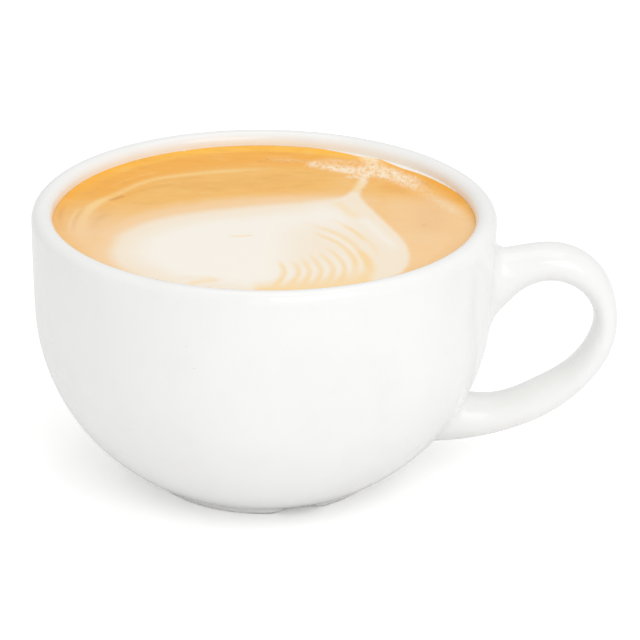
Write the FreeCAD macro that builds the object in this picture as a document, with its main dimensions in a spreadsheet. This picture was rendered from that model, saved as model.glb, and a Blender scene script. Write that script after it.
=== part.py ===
import FreeCAD, Part
import math
import os

import Sketcher

# Cup of cappuccino: a one-piece ceramic cup with an ear handle, and the drink that fills it.
#
# Millimetres, +Z up, with the foot on z = 0 and the handle along +X. Each body is drawn about the
# cup's own axis, and both are then placed so that the origin is under the middle of the whole.
# Every size is a named cell of the sheet "sizes". The outlines are sketches whose corners are
# bound to those cells.

SIZES = {
    "rim_diameter": 105.0,       # outside of the lip
    "cup_height": 64.7,          # foot to the top of the lip
    "rim_wall": 4.8,             # thickness of the wall, fully rounded at the lip
    "belly_height": 41.0,        # foot to where the belly begins, under the nearly upright band
    "wall_draft": 0.4,           # how far that band has bowed inwards where the belly begins
    "foot_diameter": 52.8,       # outside of the foot ring where its edge starts to round
    "foot_height": 1.5,          # foot ring, up to where the belly begins
    "foot_flare": 0.4,           # how much wider the ring is at its top than near the ground
    "foot_edge": 0.6,            # rounding of the ring's two lower edges
    "foot_blend": 1.5,           # hollow rounding between ring and belly
    "ring_width": 4.2,           # foot ring, outside to inside
    "recess_depth": 2.3,         # underside inside the ring, above the ground
    "floor_thickness": 5.4,      # from the recess to the bottom of the bowl
    "floor_diameter": 46.0,      # flat bottom of the bowl
    "floor_blend": 6.0,          # rounding between the bowl's wall and its bottom
    "notch_width": 10.6,         # drain notch in the foot ring, along the ground
    "notch_depth": 1.5,          # drain notch, at its middle
    "notch_azimuth": -71.0,      # direction of the first drain notch, in degrees from +X
    "notch_number": 3.0,         # notches spread evenly round the ring
    "drink_below_rim": 3.4,      # the drink's level below the lip's top
    "meniscus_rise": 0.4,        # how far the drink climbs at the wall
    "meniscus_width": 2.2,       # width of the band in which it climbs
    "handle_below_rim": 12.6,    # the handle's crown below the lip's top, along its centre line
    "handle_base": 13.4,         # where its centre line ends in the belly, above the ground
    "root_blend": 0.8,           # rounding where the handle grows out of the wall
}

START = 1                        # a side's first end, its second end and its centre, as sketches count
END = 2
CENTRE = 3
SKETCH_ORIGIN = (-1, START)
UPWARD_AXIS = -2
FULL_TURN = 360.0
SAME_PLACE = 1e-6                # two corners nearer than this are one
SAME_SIZE = 1e-4                 # two sizes nearer than this are the same
NOTCH_SPREAD = 0.25              # how far the notches' measured volumes may differ, as a share


def make_sheet(doc):
    """Write every driving size to a sheet, as a plain number with a name."""
    sheet = doc.addObject("Spreadsheet::Sheet", "sizes")
    entries = list(SIZES.items())
    for name, _, out, share, thick, wide in HANDLE_STATIONS:
        entries += [(f"{name}_out", out), (f"{name}_share", share),
                    (f"{name}_thick", thick), (f"{name}_wide", wide)]
    for row, (alias, value) in enumerate(entries, start=1):
        sheet.set(f"A{row}", alias)
        sheet.set(f"B{row}", str(value))
        sheet.setAlias(f"B{row}", alias)
    doc.recompute()
    return sheet


def make_body(doc, name):
    """Add an empty body whose label is the name of its file."""
    body = doc.addObject("PartDesign::Body", name)
    body.Label = name
    body.Placement = FreeCAD.Placement()
    return body


def origin_item(body, role):
    """Find one of the body's own origin planes or axes."""
    return next(item for item in body.Origin.OriginFeatures if item.Role == role)


def add_sketch(body, name, plane, offset=None):
    """Add a sketch on one of the body's origin planes."""
    sketch = body.newObject("Sketcher::SketchObject", name)
    sketch.AttachmentSupport = [(origin_item(body, plane), "")]
    sketch.MapMode = "FlatFace"
    if offset is not None:
        sketch.AttachmentOffset = offset
    return sketch


def tangent_arc(start, end, heading):
    """Make the arc that leaves start along heading and stops at end."""
    chord = end - start
    side = FreeCAD.Vector(-heading.y, heading.x, 0)
    radius = chord.dot(chord) / (2 * chord.dot(side))
    centre = start + side * radius
    angles = [math.atan2(point.y - centre.y, point.x - centre.x) for point in (start, end)]
    if radius < 0:
        angles.reverse()
    return Part.ArcOfCircle(Part.Circle(centre, FreeCAD.Vector(0, 0, 1), abs(radius)), *angles)


class Outline:
    """A closed outline in a sketch, with each corner bound to the sheet."""

    def __init__(self, sheet, sketch, corners):
        self.sheet = sheet
        self.sketch = sketch
        self.corners = corners
        self.points = {name: self.locate(corner) for name, corner in corners.items()}

    def locate(self, corner):
        """Work out a corner's present place from its two expressions."""
        across, up = (float(self.sheet.evalExpression(text)) for text in corner)
        return FreeCAD.Vector(across, up, 0)

    def add_line(self, start, end):
        """Add a straight side."""
        line = Part.LineSegment(self.points[start], self.points[end])
        return self.sketch.addGeometry(line, False)

    def add_arc(self, start, end, heading):
        """Add a round side that leaves start along heading."""
        arc = tangent_arc(self.points[start], self.points[end], heading)
        return self.sketch.addGeometry(arc, False)

    def ends(self, index, start):
        """Tell which end of a side lies at the corner called start: its first, then its second."""
        first = self.sketch.getPoint(index, START)
        if first.distanceToPoint(self.points[start]) < SAME_PLACE:
            return START, END
        return END, START

    def draw(self, sides, smooth):
        """Draw the sides in order, join them, and bind the corners to their cells.

        A side that starts at a corner named in smooth runs on from the side before it without a kink.
        """
        indices = []
        for start, end, heading in sides:
            if heading is None:
                indices.append(self.add_line(start, end))
            else:
                indices.append(self.add_arc(start, end, heading))
        for place, (start, _, _) in enumerate(sides):
            index = indices[place]
            before = indices[place - 1]
            here = self.ends(index, start)[0]
            there = self.ends(before, sides[place - 1][0])[1]
            kind = "Tangent" if start in smooth else "Coincident"
            self.sketch.addConstraint(Sketcher.Constraint(kind, before, there, index, here))
            self.bind_corner(index, here, start)

    def bind_corner(self, index, point, name):
        """Hold one corner at the place that the sheet gives."""
        for kind, axis, value, text in (
            ("DistanceX", "across", self.points[name].x, self.corners[name][0]),
            ("DistanceY", "up", self.points[name].y, self.corners[name][1]),
        ):
            number = self.sketch.addConstraint(Sketcher.Constraint(kind, *SKETCH_ORIGIN, index, point, value))
            label = f"{name}_{axis}"
            self.sketch.renameConstraint(number, label)
            self.sketch.setExpression(f"Constraints.{label}", text)


RIGHT = FreeCAD.Vector(1, 0, 0)
LEFT = FreeCAD.Vector(-1, 0, 0)
DOWN = FreeCAD.Vector(0, -1, 0)

RIM_RADIUS = "sizes.rim_diameter / 2"
BOWL_RADIUS = "sizes.rim_diameter / 2 - sizes.rim_wall"
LIP_CENTRE = "sizes.rim_diameter / 2 - sizes.rim_wall / 2"
LIP_START = "sizes.cup_height - sizes.rim_wall / 2"
BAND_HEIGHT = f"({LIP_START} - sizes.belly_height)"
FOOT_RADIUS = "sizes.foot_diameter / 2"
RING_INSIDE = "sizes.foot_diameter / 2 - sizes.ring_width"
BOWL_BOTTOM = "sizes.recess_depth + sizes.floor_thickness"
FLOOR_RADIUS = "sizes.floor_diameter / 2"
NOTCH_RADIUS = "(sizes.notch_width ^ 2 / 4 + sizes.notch_depth ^ 2) / (2 * sizes.notch_depth)"
LEVEL = "sizes.cup_height - sizes.drink_below_rim"
HANDLE_RISE = "(sizes.cup_height - sizes.handle_below_rim - sizes.handle_base)"

# The belly's arc leaves the upright band without a kink and ends at the foot ring. From the band's
# bow and the arc's chord follow its radius (negative, as it bends inwards), its centre, and how far
# from the cup's axis it lies at the handle's base.
BOW_SQUARE = f"({BAND_HEIGHT} ^ 2 + sizes.wall_draft ^ 2)"
BOW_COSINE = f"(({BAND_HEIGHT} ^ 2 - sizes.wall_draft ^ 2) / {BOW_SQUARE})"
BOW_SINE = f"(2 * sizes.wall_draft * {BAND_HEIGHT} / {BOW_SQUARE})"
BELLY_IN = f"({FOOT_RADIUS} + sizes.foot_flare - {RIM_RADIUS} + sizes.wall_draft)"
BELLY_DROP = "(sizes.belly_height - sizes.foot_height)"
BELLY_ARC = f"(({BELLY_IN} ^ 2 + {BELLY_DROP} ^ 2)" \
            f" / (2 * ({BELLY_IN} * {BOW_COSINE} + {BELLY_DROP} * {BOW_SINE})))"
ARC_ACROSS = f"({RIM_RADIUS} - sizes.wall_draft + {BELLY_ARC} * {BOW_COSINE})"
ARC_UP = f"(sizes.belly_height - {BELLY_ARC} * {BOW_SINE})"
BELLY_RADIUS = f"{ARC_ACROSS} + sqrt({BELLY_ARC} ^ 2 - (sizes.handle_base - {ARC_UP}) ^ 2)"

# The handle's centre line, from inside the wall at the top, over and down, to inside the belly.
# Each station: what it is measured from, how far outwards of it, its share of the way up from the
# handle's base to its crown, its thickness and its width.
HANDLE_STATIONS = [
    ("upper_seat", RIM_RADIUS, -6.5, 0.822, 17.4, 15.0),
    ("upper_root", RIM_RADIUS, -0.7, 0.894, 14.4, 14.0),
    ("upper_neck", RIM_RADIUS, 3.4, 0.943, 10.8, 12.6),
    ("crown", RIM_RADIUS, 14.7, 1.0, 8.3, 12.0),
    ("shoulder", RIM_RADIUS, 21.3, 0.915, 7.3, 11.6),
    ("bend", RIM_RADIUS, 25.6, 0.685, 5.4, 11.2),
    ("reach", RIM_RADIUS, 25.5, 0.576, 5.7, 11.2),
    ("heel", RIM_RADIUS, 19.1, 0.279, 6.9, 11.6),
    ("lower_arm", RIM_RADIUS, 12.7, 0.152, 8.1, 12.0),
    ("lower_neck", BELLY_RADIUS, 12.5, 0.026, 8.6, 12.6),
    ("lower_root", BELLY_RADIUS, 4.9, 0.003, 10.6, 13.4),
    ("lower_seat", BELLY_RADIUS, -7.5, 0.0, 12.2, 13.8),
]


def revolve(body, feature_type, name, sketch):
    """Turn a sketch once round the cup's axis."""
    feature = body.newObject(feature_type, name)
    feature.Profile = sketch
    feature.ReferenceAxis = (origin_item(body, "Z_Axis"), [""])
    feature.Angle = FULL_TURN
    return feature


def turned_heading(start, end, heading):
    """Find the heading with which the arc that leaves start along heading reaches end."""
    chord = end - start
    chord.normalize()
    return chord * (2 * heading.dot(chord)) - heading


def add_outside(body, sheet):
    """Revolve the cup's outside as a filled form: lip, upright wall, belly, foot ring and recess."""
    outline = Outline(sheet, add_sketch(body, "outside_outline", "XZ_Plane"), {
        "axis_top": ("0", "sizes.cup_height"),
        "lip_top": (LIP_CENTRE, "sizes.cup_height"),
        "lip_out": (RIM_RADIUS, LIP_START),
        "belly_top": (RIM_RADIUS + " - sizes.wall_draft", "sizes.belly_height"),
        "belly_foot": (FOOT_RADIUS + " + sizes.foot_flare", "sizes.foot_height"),
        "ring_outer": (FOOT_RADIUS, "sizes.foot_edge"),
        "ring_ground_out": (FOOT_RADIUS + " - sizes.foot_edge", "0"),
        "ring_ground_in": (RING_INSIDE + " + sizes.foot_edge", "0"),
        "ring_inner": (RING_INSIDE, "sizes.foot_edge"),
        "recess_edge": (RING_INSIDE, "sizes.recess_depth"),
        "recess_axis": ("0", "sizes.recess_depth"),
    })
    belly_heading = turned_heading(outline.points["lip_out"], outline.points["belly_top"], DOWN)
    outline.draw([
        ("axis_top", "lip_top", None),
        ("lip_top", "lip_out", RIGHT),
        ("lip_out", "belly_top", DOWN),
        ("belly_top", "belly_foot", belly_heading),
        ("belly_foot", "ring_outer", None),
        ("ring_outer", "ring_ground_out", DOWN),
        ("ring_ground_out", "ring_ground_in", None),
        ("ring_ground_in", "ring_inner", LEFT),
        ("ring_inner", "recess_edge", None),
        ("recess_edge", "recess_axis", None),
        ("recess_axis", "axis_top", None),
    ], smooth=("lip_top", "lip_out", "belly_top", "ring_ground_out", "ring_ground_in"))
    return revolve(body, "PartDesign::Revolution", "outside", outline.sketch)


def bowl_outline(body, sheet, name, top_corners, top_sides, smooth):
    """Draw the bowl's half outline, closed at the top by the corners and sides given.

    The sides given end at bowl_top, high on the wall, and the outline runs on down from there.
    """
    corners = {
        "bowl_side": (BOWL_RADIUS + " - sizes.wall_draft", "sizes.belly_height"),
        "bowl_floor": (FLOOR_RADIUS, BOWL_BOTTOM),
        "bowl_axis": ("0", BOWL_BOTTOM),
    }
    corners.update(top_corners)
    outline = Outline(sheet, add_sketch(body, name, "XZ_Plane"), corners)
    lip_in = FreeCAD.Vector(*[float(sheet.evalExpression(text)) for text in (BOWL_RADIUS, LIP_START)], 0)
    side = outline.points["bowl_side"]
    side_heading = turned_heading(lip_in, side, DOWN)
    top_heading = -turned_heading(side, outline.points["bowl_top"], -side_heading)
    outline.draw(top_sides + [
        ("bowl_top", "bowl_side", top_heading),
        ("bowl_side", "bowl_floor", side_heading),
        ("bowl_floor", "bowl_axis", None),
        ("bowl_axis", top_sides[0][0], None),
    ], smooth=smooth + ("bowl_side",))
    return outline


def add_bowl(body, sheet):
    """Hollow the cup, from the lip's crest down to the bowl's bottom."""
    outline = bowl_outline(body, sheet, "bowl_outline", {
        "above_axis": ("0", "sizes.cup_height + sizes.rim_wall"),
        "above_lip": (LIP_CENTRE, "sizes.cup_height + sizes.rim_wall"),
        "lip_crest": (LIP_CENTRE, "sizes.cup_height"),
        "bowl_top": (BOWL_RADIUS, LIP_START),
    }, [
        ("above_axis", "above_lip", None),
        ("above_lip", "lip_crest", None),
        ("lip_crest", "bowl_top", LEFT),
    ], smooth=("bowl_top",))
    return revolve(body, "PartDesign::Groove", "bowl", outline.sketch)


def station_place(name, wall):
    """Write a station's place, outwards and upwards, as two expressions."""
    return f"{wall} + sizes.{name}_out", f"sizes.handle_base + sizes.{name}_share * {HANDLE_RISE}"


def handle_route(sheet):
    """Run a smooth centre line through the handle's stations."""
    centres = []
    for name, wall, *_ in HANDLE_STATIONS:
        out, up = (float(sheet.evalExpression(text)) for text in station_place(name, wall))
        centres.append(FreeCAD.Vector(out, 0, up))
    lengths = [0.0]
    for before, after in zip(centres, centres[1:]):
        lengths.append(lengths[-1] + (after - before).Length)
    route = Part.BSplineCurve()
    route.interpolate(Points=centres, Parameters=lengths)
    return route, lengths


def level_ellipse(across, up):
    """Make an ellipse about the sketch's origin that starts on the same side whichever way it is long."""
    centre = FreeCAD.Vector(0, 0, 0)
    if across >= up:
        return Part.Ellipse(FreeCAD.Vector(across, 0, 0), FreeCAD.Vector(0, up, 0), centre)
    return Part.Ellipse(FreeCAD.Vector(0, up, 0), FreeCAD.Vector(-across, 0, 0), centre)


def add_oval(body, sheet, name, wall, heading):
    """Add one station's oval, square to the centre line, with its place and size bound to the sheet."""
    across = FreeCAD.Vector(0, 1, 0)
    square = FreeCAD.Rotation(across, heading.cross(across), heading, "ZXY")
    sketch = add_sketch(body, f"{name}_oval", "XY_Plane", FreeCAD.Placement(FreeCAD.Vector(), square))
    out, up = station_place(name, wall)
    sketch.setExpression("AttachmentOffset.Base.x", out)
    sketch.setExpression("AttachmentOffset.Base.z", up)
    thick = getattr(sheet, f"{name}_thick")
    wide = getattr(sheet, f"{name}_wide")
    ellipse = sketch.addGeometry(level_ellipse(wide / 2, thick / 2), False)
    sketch.exposeInternalGeometry(ellipse)
    long_axis, short_axis = ellipse + 1, ellipse + 2
    lies_level = wide >= thick
    sketch.addConstraint(Sketcher.Constraint("Coincident", ellipse, CENTRE, *SKETCH_ORIGIN))
    sketch.addConstraint(Sketcher.Constraint("Horizontal" if lies_level else "Vertical", long_axis))
    sizes = [("wide", wide), ("thick", thick)]
    if not lies_level:
        sizes.reverse()
    for line, (cell, size) in zip((long_axis, short_axis), sizes):
        number = sketch.addConstraint(Sketcher.Constraint("Distance", line, size))
        sketch.renameConstraint(number, cell)
        sketch.setExpression(f"Constraints.{cell}", f"sizes.{name}_{cell}")
    return sketch


def add_handle(body, sheet):
    """Loft the ear handle through its ovals."""
    route, lengths = handle_route(sheet)
    ovals = [
        add_oval(body, sheet, name, wall, route.tangent(length)[0])
        for (name, wall, *_), length in zip(HANDLE_STATIONS, lengths)
    ]
    loft = body.newObject("PartDesign::AdditiveLoft", "handle")
    loft.Profile = ovals[0]
    loft.Sections = ovals[1:]
    return loft


def round_edges(body, name, cell, chosen):
    """Round the edges of the body's tip for which chosen is true, at the radius in a cell."""
    base = body.Tip
    names = [f"Edge{number}" for number, edge in enumerate(base.Shape.Edges, start=1) if chosen(edge)]
    fillet = body.newObject("PartDesign::Fillet", name)
    fillet.Base = (base, names)
    fillet.setExpression("Radius", f"sizes.{cell}")
    return fillet


def is_ring(edge, radius, height):
    """Tell whether an edge is the circle about the cup's axis at this radius and height."""
    curve = edge.Curve
    if not isinstance(curve, Part.Circle):
        return False
    return abs(curve.Radius - radius) < SAME_SIZE and abs(curve.Center.z - height) < SAME_SIZE


def is_handle_root(shape, edge):
    """Tell whether the handle meets the wall along an edge."""
    kinds = [isinstance(face.Surface, Part.BSplineSurface) for face in shape.ancestorsOfType(edge, Part.Face)]
    return sorted(kinds) == [False, True]


def add_notches(body, sheet):
    """Cut the shallow drain notches through the foot ring, evenly spread."""
    turn = FreeCAD.Rotation(FreeCAD.Vector(0, 0, 1), sheet.notch_azimuth - 90)
    stand = FreeCAD.Rotation(FreeCAD.Vector(1, 0, 0), 90)
    sketch = add_sketch(body, "notch_outline", "XY_Plane",
                        FreeCAD.Placement(FreeCAD.Vector(0, 0, 0), turn.multiply(stand)))
    size = float(sheet.evalExpression(NOTCH_RADIUS))
    sink = size - sheet.notch_depth
    curve = Part.Circle(FreeCAD.Vector(0, -sink, 0), FreeCAD.Vector(0, 0, 1), size)
    circle = sketch.addGeometry(curve, False)
    sketch.addConstraint(Sketcher.Constraint("PointOnObject", circle, CENTRE, UPWARD_AXIS))
    number = sketch.addConstraint(Sketcher.Constraint("Radius", circle, size))
    sketch.renameConstraint(number, "notch_radius")
    sketch.setExpression("Constraints.notch_radius", NOTCH_RADIUS)
    number = sketch.addConstraint(Sketcher.Constraint("DistanceY", circle, CENTRE, *SKETCH_ORIGIN, sink))
    sketch.renameConstraint(number, "notch_sink")
    sketch.setExpression("Constraints.notch_sink", f"{NOTCH_RADIUS} - sizes.notch_depth")
    notch = body.newObject("PartDesign::Pocket", "notch")
    notch.Profile = sketch
    notch.setExpression("Length", "sizes.rim_diameter / 2")
    pattern = body.newObject("PartDesign::PolarPattern", "notches")
    pattern.Originals = [notch]
    pattern.Axis = (origin_item(body, "Z_Axis"), [""])
    pattern.Angle = FULL_TURN
    pattern.setExpression("Occurrences", "sizes.notch_number")
    body.Tip = pattern
    return notch, pattern


def build_cup(doc, sheet):
    """Build the ceramic cup as one solid."""
    body = make_body(doc, "cup")
    add_outside(body, sheet)
    doc.recompute()
    belly_foot = sheet.foot_diameter / 2 + sheet.foot_flare
    round_edges(body, "foot_hollow", "foot_blend",
                lambda edge: is_ring(edge, belly_foot, sheet.foot_height))
    doc.recompute()
    add_handle(body, sheet)
    doc.recompute()
    joined = body.Tip.Shape
    round_edges(body, "root_hollow", "root_blend", lambda edge: is_handle_root(joined, edge))
    doc.recompute()
    add_bowl(body, sheet)
    doc.recompute()
    bottom = sheet.recess_depth + sheet.floor_thickness
    round_edges(body, "bowl_hollow", "floor_blend",
                lambda edge: is_ring(edge, sheet.floor_diameter / 2, bottom))
    doc.recompute()
    whole = body.Tip.Shape.Volume
    notch, pattern = add_notches(body, sheet)
    doc.recompute()
    one_notch = whole - notch.Shape.Volume
    all_notches = whole - pattern.Shape.Volume
    if one_notch <= 0 or abs(all_notches - sheet.notch_number * one_notch) > NOTCH_SPREAD * all_notches:
        raise ValueError("the drain notches don't cut the foot ring")
    return body


def build_drink(doc, sheet):
    """Build the drink as the solid that fills the bowl up to its level and climbs a little at the wall."""
    body = make_body(doc, "drink")
    outline = bowl_outline(body, sheet, "drink_outline", {
        "drink_axis": ("0", LEVEL),
        "drink_flat": (f"{BOWL_RADIUS} - sizes.meniscus_width", LEVEL),
        "bowl_top": (BOWL_RADIUS, f"{LEVEL} + sizes.meniscus_rise"),
    }, [
        ("drink_axis", "drink_flat", None),
        ("drink_flat", "bowl_top", RIGHT),
    ], smooth=("drink_flat",))
    revolve(body, "PartDesign::Revolution", "filling", outline.sketch)
    doc.recompute()
    bottom = sheet.recess_depth + sheet.floor_thickness
    round_edges(body, "bowl_hollow", "floor_blend",
                lambda edge: is_ring(edge, sheet.floor_diameter / 2, bottom))
    doc.recompute()
    return body


def centre(bodies):
    """Move both bodies so that the origin is under the middle of the whole, handle included."""
    box = bodies[0].Shape.optimalBoundingBox(False)
    shift = FreeCAD.Vector(-(box.XMin + box.XMax) / 2, 0, 0)
    for body in bodies:
        body.Placement = FreeCAD.Placement(shift, FreeCAD.Rotation())
    print(f"the cup's axis is at x = {shift.x:.3f}")


def check(doc, bodies):
    """Stop if a feature failed or a body isn't one sound solid."""
    for item in doc.Objects:
        if "Invalid" in item.State or "Error" in item.State:
            raise ValueError(f"{item.Name} failed: {item.State}")
    for body in bodies:
        shape = body.Shape
        if shape.isNull() or not shape.isValid() or len(shape.Solids) != 1:
            raise ValueError(f"{body.Label} isn't one valid solid")


def write(bodies):
    """Write each body to a file of its own name."""
    os.makedirs("parts", exist_ok=True)
    for body in bodies:
        body.Shape.exportStep(f"parts/{body.Label}.step")
        box = body.Shape.optimalBoundingBox(False)
        print(f"{body.Label}: {body.Shape.Volume / 1000:.1f} ml, x {box.XMin:.2f} to {box.XMax:.2f}, "
              f"y {box.YMin:.2f} to {box.YMax:.2f}, z {box.ZMin:.2f} to {box.ZMax:.2f}")


def main():
    """Build the cup and the drink, place them, check them and write them."""
    doc = FreeCAD.newDocument("cappuccino_cup")
    sheet = make_sheet(doc)
    bodies = [build_cup(doc, sheet), build_drink(doc, sheet)]
    centre(bodies)
    doc.recompute()
    check(doc, bodies)
    write(bodies)


main()
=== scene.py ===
import logging
import math
from collections.abc import Callable, Mapping, Sequence
from dataclasses import dataclass, field
from enum import Enum

import bpy
import numpy as np
from mathutils import Matrix, Vector


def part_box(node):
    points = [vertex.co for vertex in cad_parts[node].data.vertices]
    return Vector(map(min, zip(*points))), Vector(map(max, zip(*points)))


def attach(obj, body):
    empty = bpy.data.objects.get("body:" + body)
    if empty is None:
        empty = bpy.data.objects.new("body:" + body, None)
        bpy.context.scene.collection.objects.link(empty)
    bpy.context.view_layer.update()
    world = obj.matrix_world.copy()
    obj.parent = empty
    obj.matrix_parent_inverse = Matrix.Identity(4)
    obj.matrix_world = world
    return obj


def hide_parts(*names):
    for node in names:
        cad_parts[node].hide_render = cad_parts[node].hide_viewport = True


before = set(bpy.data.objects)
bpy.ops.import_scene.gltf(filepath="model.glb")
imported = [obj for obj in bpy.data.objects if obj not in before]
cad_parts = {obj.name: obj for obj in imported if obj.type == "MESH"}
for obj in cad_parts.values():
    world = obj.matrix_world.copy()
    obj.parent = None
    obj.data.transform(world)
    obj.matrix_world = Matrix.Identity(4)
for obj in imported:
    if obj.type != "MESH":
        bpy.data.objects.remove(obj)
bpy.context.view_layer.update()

# Cup of cappuccino. A one-piece white glazed cup with an ear handle holds coffee under crema, with a
# poured figure of milk foam and a patch of froth at the back.
#
# Lengths in the classes are millimetres about the cup's own axis, +X to the handle, +Z up, and become
# metres in the frame when a mesh, a lamp or the camera is made.

MM = 0.001
BODY = "root"
WHITE = (1.0, 1.0, 1.0, 1.0)
LOG = logging.getLogger("cappuccino")

Triple = tuple[float, float, float]
Colour = Triple
Line = tuple[tuple[float, float], ...]
Settings = Mapping[str, object] | None
Sockets = Mapping[str | int, object] | None


class Node(Enum):
    """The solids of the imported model."""

    CUP = "cup"
    DRINK = "drink"


class Slot(Enum):
    """The finishes that the record names."""

    GLAZE = "glaze"
    DRINK = "drink"


class Output(Enum):
    """Where a shader ends."""

    MATERIAL = "ShaderNodeOutputMaterial"
    WORLD = "ShaderNodeOutputWorld"


# ---------------------------------------------------------------------------------------------
# Plain geometry


def arc_end(start: np.ndarray, end: np.ndarray, heading: np.ndarray) -> np.ndarray:
    """Find the heading with which an arc arrives.

    Args:
        start: Where the arc begins.
        end: Where it ends.
        heading: The unit direction in which it leaves start.

    Returns:
        The unit direction in which it reaches end.
    """
    chord = (end - start) / np.linalg.norm(end - start)
    return 2 * heading.dot(chord) * chord - heading


def arc_points(start: np.ndarray, end: np.ndarray, heading: np.ndarray, count: int) -> np.ndarray:
    """Sample an arc that leaves start along heading and stops at end.

    Args:
        start: Where the arc begins.
        end: Where it ends.
        heading: The unit direction in which it leaves start.
        count: How many points follow start, the last of them at end.

    Returns:
        The points after start, one to a row.
    """
    chord = end - start
    side = np.array([-heading[1], heading[0]])
    radius = chord.dot(chord) / (2 * chord.dot(side))
    centre = start + side * radius
    first = math.atan2(*(start - centre)[::-1])
    turn = 2 * math.atan2(chord.dot(side), chord.dot(heading))
    angles = first + turn * np.arange(1, count + 1) / count
    return centre + abs(radius) * np.column_stack((np.cos(angles), np.sin(angles)))


def smooth_curve(points: Sequence[Sequence[float]], steps: int, closed: bool = False) -> np.ndarray:
    """Run a smooth curve through points.

    Args:
        points: The points that it passes through.
        steps: How many short lines replace each span.
        closed: Whether the curve returns to its first point.

    Returns:
        The curve's points, one to a row.
    """
    knots = np.array(points, float)
    if closed:
        knots = np.vstack((knots[-1], knots, knots[0], knots[1]))
    else:
        knots = np.vstack((2 * knots[0] - knots[1], knots, 2 * knots[-1] - knots[-2]))
    share = np.linspace(0, 1, steps, endpoint=False)[:, None]
    spans = []
    for before, start, end, after in zip(knots, knots[1:], knots[2:], knots[3:]):
        spans.append(0.5 * (2 * start + (end - before) * share
                            + (2 * before - 5 * start + 4 * end - after) * share ** 2
                            + (3 * start - before - 3 * end + after) * share ** 3))
    if not closed:
        spans.append(knots[-2:-1])
    return np.vstack(spans)


def even_curve(rows: Sequence[Sequence[float]], steps: int) -> np.ndarray:
    """Run a curve of even bend through unevenly spaced stations.

    Args:
        rows: The stations: a place of two numbers, and any others that change along with it.
        steps: How many short lines replace each span.

    Returns:
        The curve's stations, one to a row.
    """
    knots = np.array(rows, float)
    spans = np.linalg.norm(np.diff(knots[:, :2], axis=0), axis=1)[:, None]
    system = np.eye(len(knots))
    known = np.zeros_like(knots)
    slopes = np.diff(knots, axis=0) / spans
    for index in range(1, len(knots) - 1):
        before, after = spans[index - 1, 0], spans[index, 0]
        system[index, index - 1:index + 2] = before, 2 * (before + after), after
        known[index] = 6 * (slopes[index] - slopes[index - 1])
    bends = np.linalg.solve(system, known)
    share = np.linspace(0, 1, steps, endpoint=False)[:, None]
    curve = []
    for start, end, bend, next_bend, span in zip(knots, knots[1:], bends, bends[1:], spans):
        rest = 1 - share
        curve.append(rest * start + share * end + span ** 2 / 6 * (
            (rest ** 3 - rest) * bend + (share ** 3 - share) * next_bend))
    curve.append(knots[-1:])
    return np.vstack(curve)


def smoothstep(value: np.ndarray, low: float, high: float) -> np.ndarray:
    """Ease a value from 0 at low to 1 at high, where high may be the smaller."""
    share = np.clip((value - low) / (high - low), 0, 1)
    return share * share * (3 - 2 * share)


def line_distance(points: np.ndarray, line: np.ndarray) -> tuple[np.ndarray, np.ndarray]:
    """Measure points against an open line.

    Args:
        points: The points, one to a row.
        line: The line's corners, one to a row.

    Returns:
        Each point's distance, and how far along the line, from 0 to 1, its nearest place lies.
    """
    nearest = np.full(len(points), np.inf)
    along = np.zeros(len(points))
    for index, (start, end) in enumerate(zip(line, line[1:])):
        edge = end - start
        offset = points - start
        share = np.clip(offset @ edge / (edge @ edge), 0, 1)
        gap = ((offset - share[:, None] * edge) ** 2).sum(1)
        closer = gap < nearest
        nearest[closer] = gap[closer]
        along[closer] = index + share[closer]
    return np.sqrt(nearest), along / (len(line) - 1)


def is_inside(points: np.ndarray, loop: np.ndarray) -> np.ndarray:
    """Tell which points lie inside a closed outline.

    Args:
        points: The points, one to a row.
        loop: The outline's corners, one to a row.

    Returns:
        True for each point inside.
    """
    inside = np.zeros(len(points), bool)
    for start, end in zip(loop, np.roll(loop, -1, axis=0)):
        if start[1] == end[1]:
            continue
        crosses = (start[1] > points[:, 1]) != (end[1] > points[:, 1])
        meets = start[0] + (points[:, 1] - start[1]) * (end[0] - start[0]) / (end[1] - start[1])
        inside ^= crosses & (points[:, 0] < meets)
    return inside


def outline_distance(points: np.ndarray, loop: np.ndarray) -> np.ndarray:
    """Measure how far points lie outside a closed outline, negative inside it."""
    distance, _ = line_distance(points, np.vstack((loop, loop[:1])))
    return np.where(is_inside(points, loop), -distance, distance)


def blend_union(first: np.ndarray, second: np.ndarray, width: float) -> np.ndarray:
    """Join two forms, with a hollow rounding of about this width where they meet."""
    near = np.maximum(width - np.abs(first - second), 0) / width
    return np.minimum(first, second) - near * near * width / 4


def new_object(name: str, data: bpy.types.ID) -> bpy.types.Object:
    """Put a mesh, a lamp or a camera in the scene.

    Args:
        name: The object's name.
        data: What it shows.

    Returns:
        The object, at the origin.
    """
    made = bpy.data.objects.new(name, data)
    bpy.context.scene.collection.objects.link(made)
    return made


def mesh_from(name: str, points: np.ndarray, faces: Sequence[Sequence[int]]) -> bpy.types.Mesh:
    """Make a smooth-shaded mesh.

    Args:
        name: The mesh's name.
        points: The corners in metres, one to a row.
        faces: The faces, each a list of corner numbers.

    Returns:
        The mesh.
    """
    mesh = bpy.data.meshes.new(name)
    mesh.from_pydata(points.tolist(), [], [tuple(face) for face in faces])
    mesh.update()
    mesh.shade_smooth()
    return mesh


def net_faces(count: int) -> np.ndarray:
    """Join a square net of points with faces.

    Args:
        count: How many points each side has.

    Returns:
        The corner numbers of each face, one face to a row.
    """
    number = np.arange(count * count).reshape(count, count)
    corners = (number[:-1, :-1], number[1:, :-1], number[1:, 1:], number[:-1, 1:])
    return np.stack(corners, -1).reshape(-1, 4)


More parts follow.
